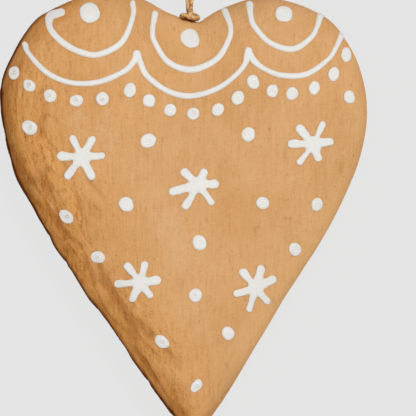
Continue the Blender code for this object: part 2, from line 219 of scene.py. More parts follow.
# Strokes of paint, each through a few points: shares of the half width and
# the half length from the middle of the heart, then the width there in mm
INNER_ARCS = {
    "left": (
        (-0.672, 0.918, 1.75), (-0.728, 0.896, 1.8), (-0.731, 0.846, 1.4),
        (-0.688, 0.797, 1.45), (-0.606, 0.749, 1.45), (-0.49, 0.721, 1.4),
        (-0.375, 0.756, 1.42), (-0.317, 0.811, 1.32), (-0.279, 0.905, 1.14),
        (-0.283, 0.958, 1.25),
    ),
    "middle": (
        (-0.157, 0.916, 1.48), (-0.173, 0.83, 1.18), (-0.155, 0.771, 1.22),
        (-0.082, 0.686, 1.34), (0.044, 0.654, 1.54), (0.177, 0.701, 1.36), (0.245, 0.791, 1.2),
        (0.255, 0.85, 1.18), (0.229, 0.916, 1.6),
    ),
    "right": (
        (0.359, 0.953, 1.66), (0.366, 0.898, 1.24), (0.386, 0.851, 1.28), (0.471, 0.777, 1.24),
        (0.594, 0.748, 1.44), (0.691, 0.799, 1.2), (0.722, 0.846, 1.1), (0.733, 0.878, 1.3),
        (0.74, 0.9, 1.65),
    ),
}
OUTER_ARCS = {
    "left": (
        (-0.867, 0.769, 1.3), (-0.849, 0.729, 1.12), (-0.75, 0.641, 1.28),
        (-0.619, 0.595, 1.24), (-0.471, 0.597, 1.37), (-0.329, 0.646, 1.3), (-0.276, 0.69, 1.5),
        (-0.262, 0.712, 1.6),
    ),
    "middle": (
        (-0.258, 0.726, 1.85), (-0.24, 0.69, 1.5), (-0.201, 0.624, 1.35), (-0.084, 0.554, 1.35),
        (0.044, 0.534, 1.38), (0.196, 0.574, 1.29), (0.32, 0.663, 1.2), (0.353, 0.74, 1.85),
    ),
    "right": (
        (0.358, 0.725, 1.7), (0.388, 0.69, 1.45), (0.439, 0.658, 1.2), (0.536, 0.628, 1.32),
        (0.67, 0.634, 1.38), (0.786, 0.701, 1.12), (0.828, 0.754, 1.12), (0.844, 0.785, 1.22),
        (0.858, 0.815, 1.55),
    ),
}

# Dots of paint: place as above, then length and breadth in mm, the turn of the
# long way in degrees from +X, and how brown the rings in the middle are
BIG_DOTS = (
    (-0.516, 0.914, 4.75, 4.47, 140, 0.0), (0.032, 0.796, 4.73, 4.03, 146, 0.1),
    (0.545, 0.907, 4.12, 3.49, 155, 0.0),
)
ROW_DOTS = (
    (-0.929, 0.64, 3.15, 2.25, 82, 1.0), (-0.845, 0.582, 3.05, 2.55, 129, 1.0),
    (-0.732, 0.535, 3.16, 2.82, 124, 0.7), (-0.588, 0.512, 3.15, 2.7, 2, 0.9),
    (-0.445, 0.521, 3.05, 2.95, 97, 0.9), (-0.296, 0.56, 3.47, 2.8, 77, 0.2),
    (-0.191, 0.512, 3.04, 2.9, 106, 0.0), (-0.076, 0.469, 2.92, 2.88, 64, 0.2),
    (0.051, 0.453, 2.88, 2.78, 27, 0.5), (0.185, 0.471, 3.11, 2.66, 53, 0.2),
    (0.294, 0.525, 3.31, 2.77, 68, 0.2), (0.378, 0.597, 3.43, 2.8, 105, 0.2),
    (0.482, 0.557, 3.0, 2.65, 80, 0.2), (0.59, 0.545, 3.0, 2.76, 59, 0.2),
    (0.711, 0.57, 3.12, 2.52, 75, 0.2), (0.817, 0.634, 3.32, 2.44, 77, 0.2),
    (0.884, 0.722, 3.35, 2.28, 98, 0.2), (0.902, 0.53, 3.05, 2.45, 112, 0.2),
)
LOOSE_DOTS = (
    (-0.84, 0.39, 3.68, 3.05, 145, 0.6), (-0.196, 0.329, 3.7, 3.24, 27, 0.2),
    (0.351, 0.358, 3.43, 3.08, 68, 0.2), (-0.315, 0.037, 3.68, 3.18, 134, 0.2),
    (0.429, 0.044, 2.98, 2.84, 148, 0.2), (0.726, 0.038, 3.08, 2.5, 72, 0.2),
    (-0.644, -0.019, 3.75, 2.72, 139, 0.9), (0.085, -0.138, 3.65, 3.18, 115, 0.2),
    (0.606, -0.168, 3.14, 2.75, 108, 0.2), (-0.47, -0.204, 3.25, 2.75, 155, 0.9),
    (0.063, -0.379, 3.12, 2.9, 69, 0.5), (0.239, -0.552, 3.1, 2.88, 113, 0.2),
    (-0.121, -0.592, 3.68, 2.6, 142, 0.7), (0.067, -0.793, 3.42, 2.2, 58, 0.7),
)

# Snowflakes: the middle, then each arm's length, width half way and width at
# its end in mm, and its direction in degrees from +X
SNOWFLAKES = (
    (-0.558, 0.254, (
        (5.37, 1.8, 1.6, 4), (5.43, 1.5, 1.8, 59), (5.49, 1.3, 1.7, 116),
        (5.65, 1.5, 2.15, 177), (6.15, 1.55, 1.85, 233), (5.75, 1.85, 1.95, 297))),
    (0.079, 0.128, (
        (4.72, 1.6, 2.05, 2), (3.95, 1.8, 1.8, 66), (5.15, 1.5, 2.0, 139),
        (6.9, 1.95, 2.0, 195), (6.55, 1.45, 1.85, 239), (5.7, 1.45, 1.4, 306))),
    (0.705, 0.312, (
        (4.62, 2.0, 1.9, 10), (5.77, 1.15, 1.45, 65), (5.71, 1.65, 2.05, 130),
        (5.8, 1.4, 2.05, 178), (5.77, 1.1, 1.45, 233), (4.1, 2.0, 1.7, 290))),
    (-0.239, -0.32, (
        (4.8, 1.8, 2.1, 8), (5.05, 1.3, 1.75, 76), (5.6, 1.25, 1.75, 127),
        (5.94, 1.5, 1.75, 183), (4.95, 1.9, 1.7, 245), (4.42, 1.5, 1.55, 308))),
    (0.391, -0.345, (
        (5.15, 1.9, 1.9, 28), (5.45, 1.85, 1.85, 75), (5.52, 1.35, 2.0, 129),
        (5.3, 1.65, 1.75, 197), (5.7, 1.4, 1.45, 252), (4.65, 1.6, 1.55, 310))),
)

# Pits and dents in the skin: X and Y in mm, breadth, length, and how deep
PITS = (
    (-35.7, 17.2, 0.6, 0.7, 1.0), (-31.8, 21.5, 0.5, 1.2, 0.6), (-27.9, 21.8, 0.5, 1.0, 0.6),
    (-36.3, 32.1, 0.5, 0.6, 0.8), (-28.1, -6.3, 0.7, 0.6, 1.2), (-25.4, -9.1, 0.5, 0.8, 0.8),
    (9.8, -34.7, 0.6, 0.5, 0.9), (-2.3, 42.1, 0.5, 0.5, 1.0), (23.1, 13.1, 0.5, 2.2, 0.9),
    (19.9, 14.5, 0.4, 1.0, 0.6), (36.1, 20.2, 0.4, 1.2, 0.7), (23.1, -1.5, 0.45, 0.6, 1.0),
    (24.2, -1.5, 0.4, 0.5, 0.8), (35.9, 10.1, 0.5, 1.6, 0.8), (39.1, 20.9, 0.4, 0.8, 0.7),
    (12.1, 5.3, 0.45, 0.45, 0.7), (16.2, -4.1, 0.4, 1.2, 0.6), (26.5, 15.5, 0.4, 0.8, 0.5),
)

# Rubbed and freckled places: the middle and the reach across and along, in mm
SCUFFS = (
    ((-3.4, -2.6), (4.5, 5.0)), ((0.4, -8.7), (5.0, 4.5)),
    ((-24.3, 20.0), (3.6, 4.5)), ((-17.5, 18.5), (3.5, 6.0)),
)
FRECKLES = ((6.0, 40.8), (3.0, 4.5))

# Painted light, where the paint is made paler to lift places left in shade: X, Y
# and radius in mm, and how much paler
PALE_PLACES = (
    (1.5, 43.5, 6.5, 0.8), (-9.1, 30.2, 8.0, 0.3), (-30.6, 10.8, 2.6, 0.6),
)

# Where the hand-shaped outline bulges out or draws in: X, Y, radius and height in mm
BULGES = (
    (27.5, 47.0, 7.0, 0.35), (33.5, 43.5, 4.5, 0.6), (-34.5, 43.5, 6.0, 0.75),
    (-26.0, 48.5, 4.5, -0.15), (-4.8, 46.0, 3.6, -0.5), (7.4, 45.8, 3.6, 0.5),
    (1.0, 43.5, 2.4, 0.35), (-38.5, 12.0, 9.0, 0.55), (-21.5, -20.5, 6.0, 0.7),
    (-0.2, 43.9, 1.1, -0.4), (3.5, 43.8, 1.1, -0.4),
)

# Deep folds in the paper: points along each in mm, half width and depth
DEEP_FOLDS = (
    (((-29.0, -1.8), (-27.9, -4.1), (-26.1, -5.9), (-23.3, -8.0)), 0.8, 0.42),
    (((-22.8, -9.9), (-21.7, -13.2), (-20.3, -16.2)), 0.7, 0.32),
    (((-19.4, -12.2), (-17.6, -16.6), (-15.1, -20.1)), 0.9, 0.40),
    (((-15.4, -20.7), (-11.7, -24.6), (-8.0, -28.0)), 1.1, 0.42),
    (((-12.0, -31.0), (-9.0, -34.5), (-6.5, -38.5)), 0.8, 0.28),
    (((-4.1, -31.0), (-1.4, -35.8)), 0.9, 0.26),
    (((-7.5, -34.0), (-4.0, -38.5), (-1.8, -42.5)), 0.6, 0.18),
    (((-38.6, 15.0), (-37.0, 10.6), (-34.6, 6.6)), 0.8, 0.30),
    (((-33.5, 7.5), (-31.5, 3.8)), 0.5, 0.16),
    (((-21.6, 7.5), (-19.8, 5.2), (-18.3, 3.4)), 0.6, 0.24),
    (((-25.4, 6.0), (-24.4, 3.2), (-23.7, 0.6)), 0.6, 0.24),
    (((-32.0, 24.5), (-31.5, 21.0)), 0.35, 0.12),
    (((-28.2, 19.8), (-27.6, 15.5)), 0.35, 0.12),
)


# Shader maths as plain expressions

class Value:
    """A socket's value: arithmetic on it adds Math nodes."""

    def __init__(self, shader, socket):
        self.shader = shader
        self.socket = socket

    def math(self, operation, *values):
        return self.shader.node("ShaderNodeMath", values, operation=operation)

    def __add__(self, other):
        return self.math("ADD", self, other)

    def __sub__(self, other):
        return self.math("SUBTRACT", self, other)

    def __rsub__(self, other):
        return self.math("SUBTRACT", other, self)

    def __mul__(self, other):
        return self.math("MULTIPLY", self, other)

    def __truediv__(self, other):
        return self.math("DIVIDE", self, other)

    __radd__ = __add__
    __rmul__ = __mul__

    def clamp(self):
        return self.shader.node("ShaderNodeClamp", [self])

    def rising(self, low, high):
        """0 below low, 1 above high, and a smooth step between."""
        return self.shader.node(
            "ShaderNodeMapRange", [self, low, high, 0.0, 1.0], interpolation_type="SMOOTHSTEP")


class Shader:
    """One material and the nodes that make it."""

    def __init__(self, name):
        self.material = bpy.data.materials.new(name)
        self.material.use_nodes = True
        self.tree = self.material.node_tree
        self.principled = self.tree.nodes["Principled BSDF"]
        self.place = self.node("ShaderNodeTexCoord", output="Object")

    def fill(self, node, values):
        """Links each Value to its socket and sets the others."""
        pairs = values.items() if isinstance(values, dict) else enumerate(values)
        for key, value in pairs:
            if isinstance(value, Value):
                self.tree.links.new(value.socket, node.inputs[key])
            else:
                node.inputs[key].default_value = value

    def node(self, kind, values=(), output=0, **settings):
        made = self.tree.nodes.new(kind)
        for name, setting in settings.items():
            setattr(made, name, setting)
        self.fill(made, values)
        return Value(self, made.outputs[output])

    def scaled(self, size, turn=0.0, shift=0.0, of=None):
        """Coordinates in units of size, turned about Z by degrees first."""
        turned = self.node("ShaderNodeMapping", {
            "Vector": of or self.place, "Rotation": (0.0, 0.0, math.radians(turn))})
        return self.node("ShaderNodeMapping", {
            "Vector": turned, "Location": (shift, shift, shift),
            "Scale": [1.0 / (side * MM) for side in size]})

    def noise(self, size, detail=3.0, roughness=0.55, distortion=0.0, **place):
        return self.node("ShaderNodeTexNoise", {
            "Vector": self.scaled(size, **place), "Scale": 1.0, "Detail": detail,
            "Roughness": roughness, "Distortion": distortion}, output="Fac")

    def cells(self, size, **place):
        return self.node("ShaderNodeTexVoronoi", {
            "Vector": self.scaled(size, **place), "Scale": 1.0}, output="Distance")

    def attribute(self, name, output="Fac"):
        return self.node("ShaderNodeAttribute", attribute_name=name, output=output)

    def axis(self, name):
        return self.node("ShaderNodeSeparateXYZ", [self.place], output=name)

    def patch(self, centre, radii, ragged):
        """1 inside a patch of the surface and 0 outside it, with a ragged edge."""
        across = (self.axis("X") - centre[0] * MM) / (radii[0] * MM)
        along = (self.axis("Y") - centre[1] * MM) / (radii[1] * MM)
        reach = across * across + along * along
        return 1.0 - (reach + (ragged - 0.5) * 2.2).rising(0.1, 1.2)

    def layered(self, palette, **coats):
        """The palette's base, with its other colours laid over it in turn, each by its share."""
        tint = colour(palette["base"])
        for name, share in coats.items():
            tint = self.node(
                "ShaderNodeMix", {0: share, 6: tint, 7: colour(palette[name])}, output=2,
                data_type="RGBA")
        return tint

    def bump(self, height, distance, under=None):
        values = {"Height": height, "Distance": distance, "Strength": 1.0}
        if under is not None:
            values["Normal"] = under
        return self.node("ShaderNodeBump", values)

    def finish(self, **values):
        named = {name.replace("_", " "): value for name, value in values.items()}
        self.fill(self.principled, named)
        return self.material


def colour(levels):
    """A colour picker's 0 to 255 levels as linear light."""
    return (*[((level / 255 + 0.055) / 1.055) ** 2.4 for level in levels], 1.0)


def ginger_paint():
    """Matt ginger paint, brushed up and down over wrinkled paper, with painted shade and painted
    light.
    """
    shader = Shader("ginger_paint")
    flow = shader.attribute("flow", "Vector")
    folded, valley, ridge, rim, pale = [shader.attribute(name) for name in HEART_MARKS]

    blotch = shader.noise((17, 23, 17))
    cloud = shader.noise((5, 8, 6), detail=4, roughness=0.6, turn=8, shift=3.0)
    brush = shader.noise((0.42, 6, 3), roughness=0.65)
    ticks = shader.noise((1.7, 0.30, 0.5), roughness=0.6, shift=9.0)
    wrinkle = shader.noise((0.72, 3.2, 2.2), detail=4, roughness=0.65, distortion=0.6, turn=-4)
    groove = shader.noise((0.60, 5.6, 1.4), detail=4, roughness=0.65, distortion=0.4, of=flow)
    mottle = shader.noise((0.6, 0.45, 0.6), roughness=0.65)
    dent = shader.noise((0.9, 2.6, 1.6), detail=2, shift=7.0)
    speck = shader.cells((4.3, 5.1, 7))

    lines = brush * 0.36 + ticks * 0.2 + mottle * 0.22 + wrinkle * 0.22
    creased = wrinkle * 0.42 + groove * 0.36 + mottle * 0.22
    depths = creased * folded + lines * (1.0 - folded)

    scuff = shader.noise((0.7, 0.9, 0.9), roughness=0.65, distortion=1.2, shift=11.0)
    scuffed = 0.0
    for centre, radii in SCUFFS:
        scuffed = shader.patch(centre, radii, cloud) + scuffed
    freckled = shader.patch(*FRECKLES, cloud) * (1.0 - scuff).rising(0.52, 0.66)

    paint = shader.layered(
        GINGER,
        blotch=blotch.rising(0.36, 0.66),
        cloud=cloud.rising(0.5, 0.7) * 0.35,
        pale_cloud=(1.0 - cloud).rising(0.52, 0.7) * 0.4,
        # painted light: paler paint near the right rim and in places left in shade
        pale_rim=pale * 0.8,
        # the folded left side's deeper orange: partly its own tone, partly painted light that
        # brightens and warms that shaded side
        folded=folded * 0.72,
        # painted shade: a warmer, deeper orange near the shaded left rim
        warm_rim=(rim * 7.0).clamp() * 0.35,
        brush_line=(1.0 - lines).rising(0.50, 0.62) * 0.31,
        brush_light=lines.rising(0.51, 0.63) * 0.42,
        # painted shade in the folded skin's creases and painted highlight on their tops, following
        # its bumps
        crease=(1.0 - depths).rising(0.505, 0.61) * folded * 0.6,
        crease_light=depths.rising(0.51, 0.62) * folded * 0.42,
        # painted shade in fold valleys, pits and the cord hole, and painted highlight on fold
        # ridges
        valley=(valley * (1.35 - depths)).clamp() * 0.5,
        ridge=ridge * 0.28,
        dent=dent.rising(0.66, 0.74) * 0.32,
        speck=(1.0 - speck).rising(0.93, 0.975) * 0.5,
        scuff=(scuffed * scuff.rising(0.42, 0.62)).clamp() * 0.42,
        freckle=freckled * 0.25,
        # painted shade: the dark line and shade along the left rim
        dark_rim=(rim * (1.3 - depths * 0.6)).clamp())

    relief = (creased - 0.5) * folded * 1.5 + (lines - 0.5) * (1.0 - folded) * 0.58
    height = shader.bump(relief, 0.85 * MM)
    height = shader.bump(brush * 0.5 + mottle * 0.5, 0.06 * MM, under=height)
    sheen = 0.56 + (blotch - 0.5) * 0.12 - (lines - 0.5) * 0.25
    return shader.finish(
        Base_Color=paint, Roughness=sheen, Normal=height, Specular_IOR_Level=0.0)


def white_paint():
    """Raised white paint that dried in faint rings and lines along its edge."""
    shader = Shader("raised_white_paint")
    inset = shader.attribute("inset")
    speck = shader.attribute("speck")
    cloud = shader.noise((1.6, 1.6, 1.6))
    fine = shader.noise((0.28, 0.28, 0.28), roughness=0.6)
    waves = inset * (2 * math.pi / EDGE_LINE_SPACING) + cloud * 2.0
    edge_lines = waves.math("COSINE", waves)
    thin = 1.0 - inset.rising(0.02 * MM, 0.22 * MM)
    near_edge = 1.0 - inset.rising(0.5 * MM, 0.8 * MM)
    tint = shader.layered(
        WHITE,
        cloud=cloud.rising(0.4, 0.7),
        grain=fine.rising(0.5, 0.66) * 0.3,
        # the thin edge is browner, partly where the ginger shows through and partly painted contact
        # shade
        thin_edge=thin * 0.3,
        stain=speck,
        edge_line=(0.0 - edge_lines).rising(0.1, 1.0) * near_edge * 0.6)
    height = shader.bump(edge_lines * near_edge, 0.022 * MM)
    height = shader.bump(fine, 0.03 * MM, under=height)
    return shader.finish(
        Base_Color=tint, Roughness=0.5 + (fine - 0.5) * 0.25, Normal=height, Specular_IOR_Level=0.4)


def waxed_cord():
    """Waxed tan cord: its plies pale on top, with painted shade in the grooves between them."""
    shader = Shader("waxed_cord")
    groove = shader.attribute("groove")
    fibre = shader.noise((0.10, 0.7, 0.10), roughness=0.6)
    stain = shader.noise((1.6, 1.6, 1.6), shift=5.0)
    tint = shader.layered(
        TAN,
        stain=stain.rising(0.40, 0.62),
        fibre=fibre.rising(0.5, 0.64) * 0.6,
        dark_fibre=(1.0 - fibre).rising(0.52, 0.68) * 0.5,
        # painted shade in the grooves between the plies
        groove=groove.rising(0.35, 1.0) * 0.6)
    return shader.finish(
        Base_Color=tint, Roughness=0.45 + fibre * 0.1, Normal=shader.bump(fibre, 0.05 * MM),
        Specular_IOR_Level=0.5)


def pale_floor():
    """A floor whose own glow gives its pale tone, so that its shadows are faint."""
    shader = Shader("pale_floor")
    return shader.finish(
        Base_Color=(0.05, 0.05, 0.05, 1.0), Roughness=0.9, Specular_IOR_Level=0.0,
        Emission_Color=(1.0, 1.0, 1.0, 1.0), Emission_Strength=FLOOR_GLOW)


# The heart's form

def heart_outline():
    """The rim's points in metres, in order, with the notch first."""
    points = []
    for index, (anchor, leaving, _) in enumerate(OUTLINE_ANCHORS):
        following, _, arriving = OUTLINE_ANCHORS[(index + 1) % len(OUTLINE_ANCHORS)]
        start = Vector(anchor)
        end = Vector(following)
        corners = (start, start + Vector(leaving), end + Vector(arriving), end)
        points += interpolate_bezier(*corners, OUTLINE_STEPS + 1)[:-1]
    outline = np.array(points)
    outline -= (outline.max(axis=0) + outline.min(axis=0)) / 2
    spans = outline.max(axis=0) - outline.min(axis=0)
    return outline / spans * (HEART_WIDTH, HEART_LENGTH)


def unit(vectors):
    return vectors / np.linalg.norm(vectors, axis=-1, keepdims=True)


def way(degrees):
    """The direction this many degrees from +X."""
    return np.array((math.cos(math.radians(degrees)), math.sin(math.radians(degrees))))


def lengths_along(points):
    steps = np.linalg.norm(np.diff(points, axis=0), axis=1)
    return np.concatenate(((0.0,), np.cumsum(steps)))


def noise_of(*axes):
    return np.array([noise.noise(Vector(place)) for place in np.broadcast(*axes)])


def noise_at(places, size, seed, turn=0.0):
    """Smooth noise from -1 to 1 at each place, its grain of the given size in mm."""
    cos, sin = way(turn)
    x = (places[:, 0] * cos + places[:, 1] * sin) / (size[0] * MM)
    y = (places[:, 1] * cos - places[:, 0] * sin) / (size[1] * MM)
    z = places[:, 2] / (size[2] * MM) + seed * 17.3
    return noise_of(x, y, z)


def ease(values, low, high):
    """0 below low mm, 1 above high mm, and a smooth step between."""
    share = np.clip((values / MM - low) / (high - low), 0.0, 1.0)
    return share * share * (3.0 - 2.0 * share)


def stepped(values, start, steps):
    """The start, changed by each step's amount between its low and its high in mm."""
    return start + sum(amount * ease(values, low, high) for low, high, amount in steps)


def around(plan, x, y, radius):
    """1 at a spot given in mm, and falling off smoothly round it."""
    away = np.hypot(plan[:, 0] - x * MM, plan[:, 1] - y * MM) / (radius * MM)
    return np.exp(-away ** 2)


def foldedness(places):
    """1 where the skin is strongly folded, at the lower left rim, to 0 on the smooth right."""
    x = places[:, 0]
    y = places[:, 1]
    wander = noise_at(places, (14, 14, 14), 9) * 7 * MM
    left = ease(-x + wander, 6, 36)
    low_left = ease(-x - 0.62 * y + wander, 10, 38)
    return np.clip(0.45 * left + 0.95 * low_left, 0.0, 1.0)


def away_from_line(plan, points):
    """How far each place lies from a line through a few points."""
    path = smooth_path(np.column_stack((points, np.zeros(len(points)))), 0.5 * MM)[:, :2]
    away = np.full(len(plan), 1.0)
    near = np.all(np.abs(plan - path.mean(axis=0)) < 12 * MM, axis=1)
    some = plan[near]
    away[near] = np.linalg.norm(some[:, None] - path[None], axis=2).min(axis=1)
    return away


def seen_place(across, along):
    """Where paint goes that the camera sees at these shares of the heart's half sizes."""
    seen = np.array((across * HEART_WIDTH, along * HEART_LENGTH)) / 2
    return VIEW_MIDDLE + (seen - VIEW_MIDDLE) * SIGHT_SHRINK - (0.0, SIGHT_DROP)


class HeartForm:
    """The heart's smooth front and back over its outline, and the papered skin on them."""

    def __init__(self):
        self.outline = heart_outline()
        self.notch = self.outline[0]
        self.crown = np.array(CROWN) * (HEART_WIDTH, HEART_LENGTH) / 2
        self.full_depth = self.way_in(self.crown[None])[0]
        self.loop = np.vstack((self.outline, self.outline[:1]))
        self.gone = lengths_along(self.loop)
        spokes = self.loop - self.crown
        turn = np.unwrap(np.arctan2(spokes[:, 1], spokes[:, 0]))
        self.rim_turn = turn - turn[0]
        self.first_turn = turn[0]
        self.chart_front()

    def way_in(self, places):
        """How far each place lies inside the outline, smoothed over the middle."""
        near = self.outline
        edge = np.roll(near, -1, axis=0) - near
        run = np.linalg.norm(edge, axis=1)
        along = edge / run[:, None]
        depth = np.empty(len(places))
        for first in range(0, len(places), BATCH):
            some = places[first:first + BATCH]
            to_near = near[None] - some[:, None]
            offset = (to_near[..., 0] * along[:, 1] - to_near[..., 1] * along[:, 0]) ** 2
            offset = np.maximum(offset, (1e-3 * MM) ** 2)
            start = (to_near * along).sum(axis=2)
            end = start + run
            pull = end / np.sqrt(offset + end ** 2) - start / np.sqrt(offset + start ** 2)
            depth[first:first + BATCH] = np.sqrt(2.0 / (pull / offset).sum(axis=1))
        return depth

    def swell(self, depth, fullness):
        """0 on the rim and 1 over the crown, round at the rim, flat in the middle."""
        share = np.minimum(depth / self.full_depth, 1.0)
        return (1.0 - (1.0 - share) ** fullness) ** (1.0 / fullness)

    def front(self, depth):
        return RIM_LEVEL + FRONT_RISE * self.swell(depth, FRONT_FULLNESS)

    def back(self, depth):
        return np.maximum(RIM_LEVEL - BACK_RISE * self.swell(depth, BACK_FULLNESS), 0.0)

    def chart_front(self):
        """Keeps the way in on a fine square chart, to read it quickly anywhere."""
        self.chart_low = np.array((-HEART_WIDTH, -HEART_LENGTH)) / 2 - 2 * CHART_STEP
        columns = math.ceil(HEART_WIDTH / CHART_STEP) + 5
        rows = math.ceil(HEART_LENGTH / CHART_STEP) + 5
        x, y = np.meshgrid(
            self.chart_low[0] + np.arange(columns) * CHART_STEP,
            self.chart_low[1] + np.arange(rows) * CHART_STEP, indexing="ij")
        depth = self.way_in(np.column_stack((x.ravel(), y.ravel())))
        self.depths = depth.reshape(x.shape)
        self.levels = self.front(self.depths)
        self.slopes = np.gradient(self.levels, CHART_STEP)

    def read(self, chart, plan):
        """A chart's value at each place, between the four points of the chart round it."""
        spot = (plan - self.chart_low) / CHART_STEP
        column = np.clip(spot[:, 0].astype(int), 0, chart.shape[0] - 2)
        row = np.clip(spot[:, 1].astype(int), 0, chart.shape[1] - 2)
        u = spot[:, 0] - column
        v = spot[:, 1] - row
        return (chart[column, row] * (1 - u) * (1 - v) + chart[column + 1, row] * u * (1 - v)
                + chart[column, row + 1] * (1 - u) * v + chart[column + 1, row + 1] * u * v)

    def on_rim(self, gone):
        """The rim's points at these lengths round it from the notch."""
        return np.column_stack([np.interp(gone, self.gone, self.loop[:, axis]) for axis in (0, 1)])

    def round_rim(self, plan):
        """How far round the rim a line from the crown through each place ends."""
        spokes = plan - self.crown
        turn = np.mod(np.arctan2(spokes[:, 1], spokes[:, 0]) - self.first_turn, 2 * math.pi)
        return np.interp(turn, self.rim_turn, self.gone)

    def way_out(self, plan):
        """The direction out of the outline where a line from the crown through each place ends."""
        here = self.round_rim(plan)
        before, after = [
            self.on_rim(np.mod(here + step, self.gone[-1])) for step in (-1.5 * MM, 1.5 * MM)]
        run = unit(after - before)
        return np.column_stack((run[:, 1], -run[:, 0]))

    def skin(self, places, fine=True):
        """How far the skin stands out of the smooth form, and how much of that is its folds."""
        plan = places[:, :2]
        depth = self.read(self.depths, plan)
        flow = np.column_stack((depth, self.round_rim(plan), places[:, 2] * 0.3))
        folded = foldedness(places)
        lumps = noise_at(places, (14, 18, 14), 1) + 0.55 * noise_at(places, (6, 9, 7), 2, turn=10)
        folds = noise_at(flow, (2.3, 12, 6), 3) + 0.5 * noise_at(flow, (1.2, 7, 4), 4)
        folds = FOLD_DEPTH * folds * (0.08 + 0.92 * folded)
        ragged = noise_at(places, (1.6, 3.0, 3.0), 8)
        for points, half_width, deep in DEEP_FOLDS:
            away = away_from_line(plan, np.array(points) * MM) / (half_width * MM) + 0.35 * ragged
            folds -= deep * MM * np.exp(-np.maximum(away, 0.0) ** 2) * (places[:, 2] > RIM_LEVEL)
        offset = LUMP_DEPTH * lumps + folds
        for x, y, radius, height in BULGES:
            offset += height * MM * around(plan, x, y, radius)
        if fine:
            creases = 1.0 - np.abs(noise_at(flow, (2.4, 11, 8), 5)) * 5.0
            creases = CREASE_DEPTH * np.clip(creases, 0.0, 1.0) ** 1.5 * folded
            wrinkles = noise_at(places, (1.1, 4.0, 2.6), 6, turn=-4)
            offset += WRINKLE_DEPTH * wrinkles * (0.25 + 0.75 * folded) - creases
            folds = folds - creases
        return offset, folds

    def over_front(self, flat):
        """Lays flat shapes, X Y and a height, on the front's skin, square to it."""
        plan = flat[:, :2]
        slope_x = self.read(self.slopes[0], plan)
        slope_y = self.read(self.slopes[1], plan)
        normal = unit(np.column_stack((-slope_x, -slope_y, np.ones(len(plan)))))
        surface = np.column_stack((plan, self.read(self.levels, plan)))
        lift = flat[:, 2] + self.skin(surface, fine=False)[0]
        return surface + normal * lift[:, None]


# Making pieces

def coordinates(verts):
    return np.array([vert.co for vert in verts])


def put(verts, places):
    for vert, place in zip(verts, places):
        vert.co = place


def new_bmesh(*marks):
    """An empty bmesh whose vertices can keep a number under each of these names."""
    bm = bmesh.new()
    for name in marks:
        bm.verts.layers.float.new(name)
    return bm


def mark(bm, verts, name, values):
    """Keeps a number for each vertex, else 0, for the materials to read."""
    layer = bm.verts.layers.float[name]
    for vert, value in zip(verts, values):
        vert[layer] = float(value)


def sheet(bm, across, along):
    """Adds a sheet of cells, and gives its vertices and how far across and along each lies."""
    before = len(bm.verts)
    bmesh.ops.create_grid(bm, x_segments=across, y_segments=along, size=0.5)
    bm.verts.ensure_lookup_table()
    made = bm.verts[before:]
    shares = coordinates(made)[:, :2] + 0.5
    columns = np.rint(shares[:, 0] * across)
    rows = np.rint(shares[:, 1] * along)
    return made, columns, rows


def weld(bm):
    bmesh.ops.remove_doubles(bm, verts=bm.verts, dist=1e-4 * MM)
    bmesh.ops.recalc_face_normals(bm, faces=bm.faces)


def add_object(name, data):
    made = bpy.data.objects.new(name, data)
    bpy.context.scene.collection.objects.link(made)
    return made


def as_mesh(name, bm):
    mesh = bpy.data.meshes.new(name)
    bm.to_mesh(mesh)
    bm.free()
    return mesh


def finish_piece(name, bm, material, node):
    """Makes the bmesh a piece that stands for a node of the frame."""
    mesh = as_mesh(name, bm)
    mesh.shade_smooth()
    mesh.materials.append(material)
    piece = add_object(name, mesh)
    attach(piece, "root")
    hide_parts(node)
    return piece


def even_shares(form, side_height, rings):
    """Shares of the way from the crown to the rim that divide a face's skin evenly."""
    share = 1.0 - np.linspace(1.0, 0.0, 500) ** 3
    side = form.outline[len(form.outline) // 4]
    plan = form.crown + (side - form.crown) * share[:, None]
    gone = lengths_along(np.column_stack((plan, side_height(form.way_in(plan)))))
    return np.interp(np.linspace(0.0, gone[-1], rings + 1), gone, share)


def face_of_heart(bm, form, side_height):
    """A square sheet drawn out to the heart's outline, ring by ring."""
    made, columns, rows = sheet(bm, SKIN_CELLS, SKIN_CELLS)
    middle = SKIN_CELLS // 2
    u = columns - middle
    v = rows - middle
    ring = np.maximum(np.abs(u), np.abs(v))
    size = np.maximum(ring, 1)
    eighths = np.select(
        (v == ring, u == -ring, v == -ring),
        (np.where(u <= 0, -u / size, 8 - u / size), 2 - v / size, 4 + u / size),
        6 + v / size)
    rim = form.on_rim(eighths / 8 * form.gone[-1])
    shares = even_shares(form, side_height, middle)[ring.astype(int)]
    plan = form.crown + (rim - form.crown) * shares[:, None]
    level = side_height(form.way_in(plan))
    level[ring == middle] = RIM_LEVEL
    put(made, np.column_stack((plan, level)))


def rim_shade(form, places, depth):
    """How much painted shade darkens the paint near the rim's left side, from the rim's level up.
    """
    plan = places[:, :2]
    facing = np.clip(form.way_out(plan) @ RIM_SHADE_WAY, 0.0, 1.0) ** 0.7
    facing *= plan[:, 0] < form.notch[0] - 5 * MM - 0.3 * plan[:, 1]
    broad = stepped(plan[:, 1], BROAD_SHADE, BROAD_SHADE_STEPS)
    shade = RIM_LINE * (1.0 - ease(depth, *RIM_LINE_REACH))
    shade += broad * (1.0 - ease(depth, *BROAD_SHADE_REACH))
    shade += FAINT_SHADE * (1.0 - ease(depth, *FAINT_SHADE_REACH))
    return np.clip(shade * ease(places[:, 2], *SHADE_LEVELS) * facing, 0.0, 1.0)


def paleness(form, plan, depth):
    """How much painted light makes the paint paler, near the rim's right side and in a few places.
    """
    pale = np.clip(form.way_out(plan) @ PALE_WAY, 0.0, 1.0) ** 0.7 * (plan[:, 0] > 0)
    pale *= 1.0 - ease(depth, *PALE_REACH)
    pale *= stepped(plan[:, 1], PALE_SHARE, PALE_STEPS) * ease(plan[:, 1], *PALE_TIP)
    for x, y, radius, share in PALE_PLACES:
        pale = np.maximum(pale, share * around(plan, x, y, radius))
    return pale


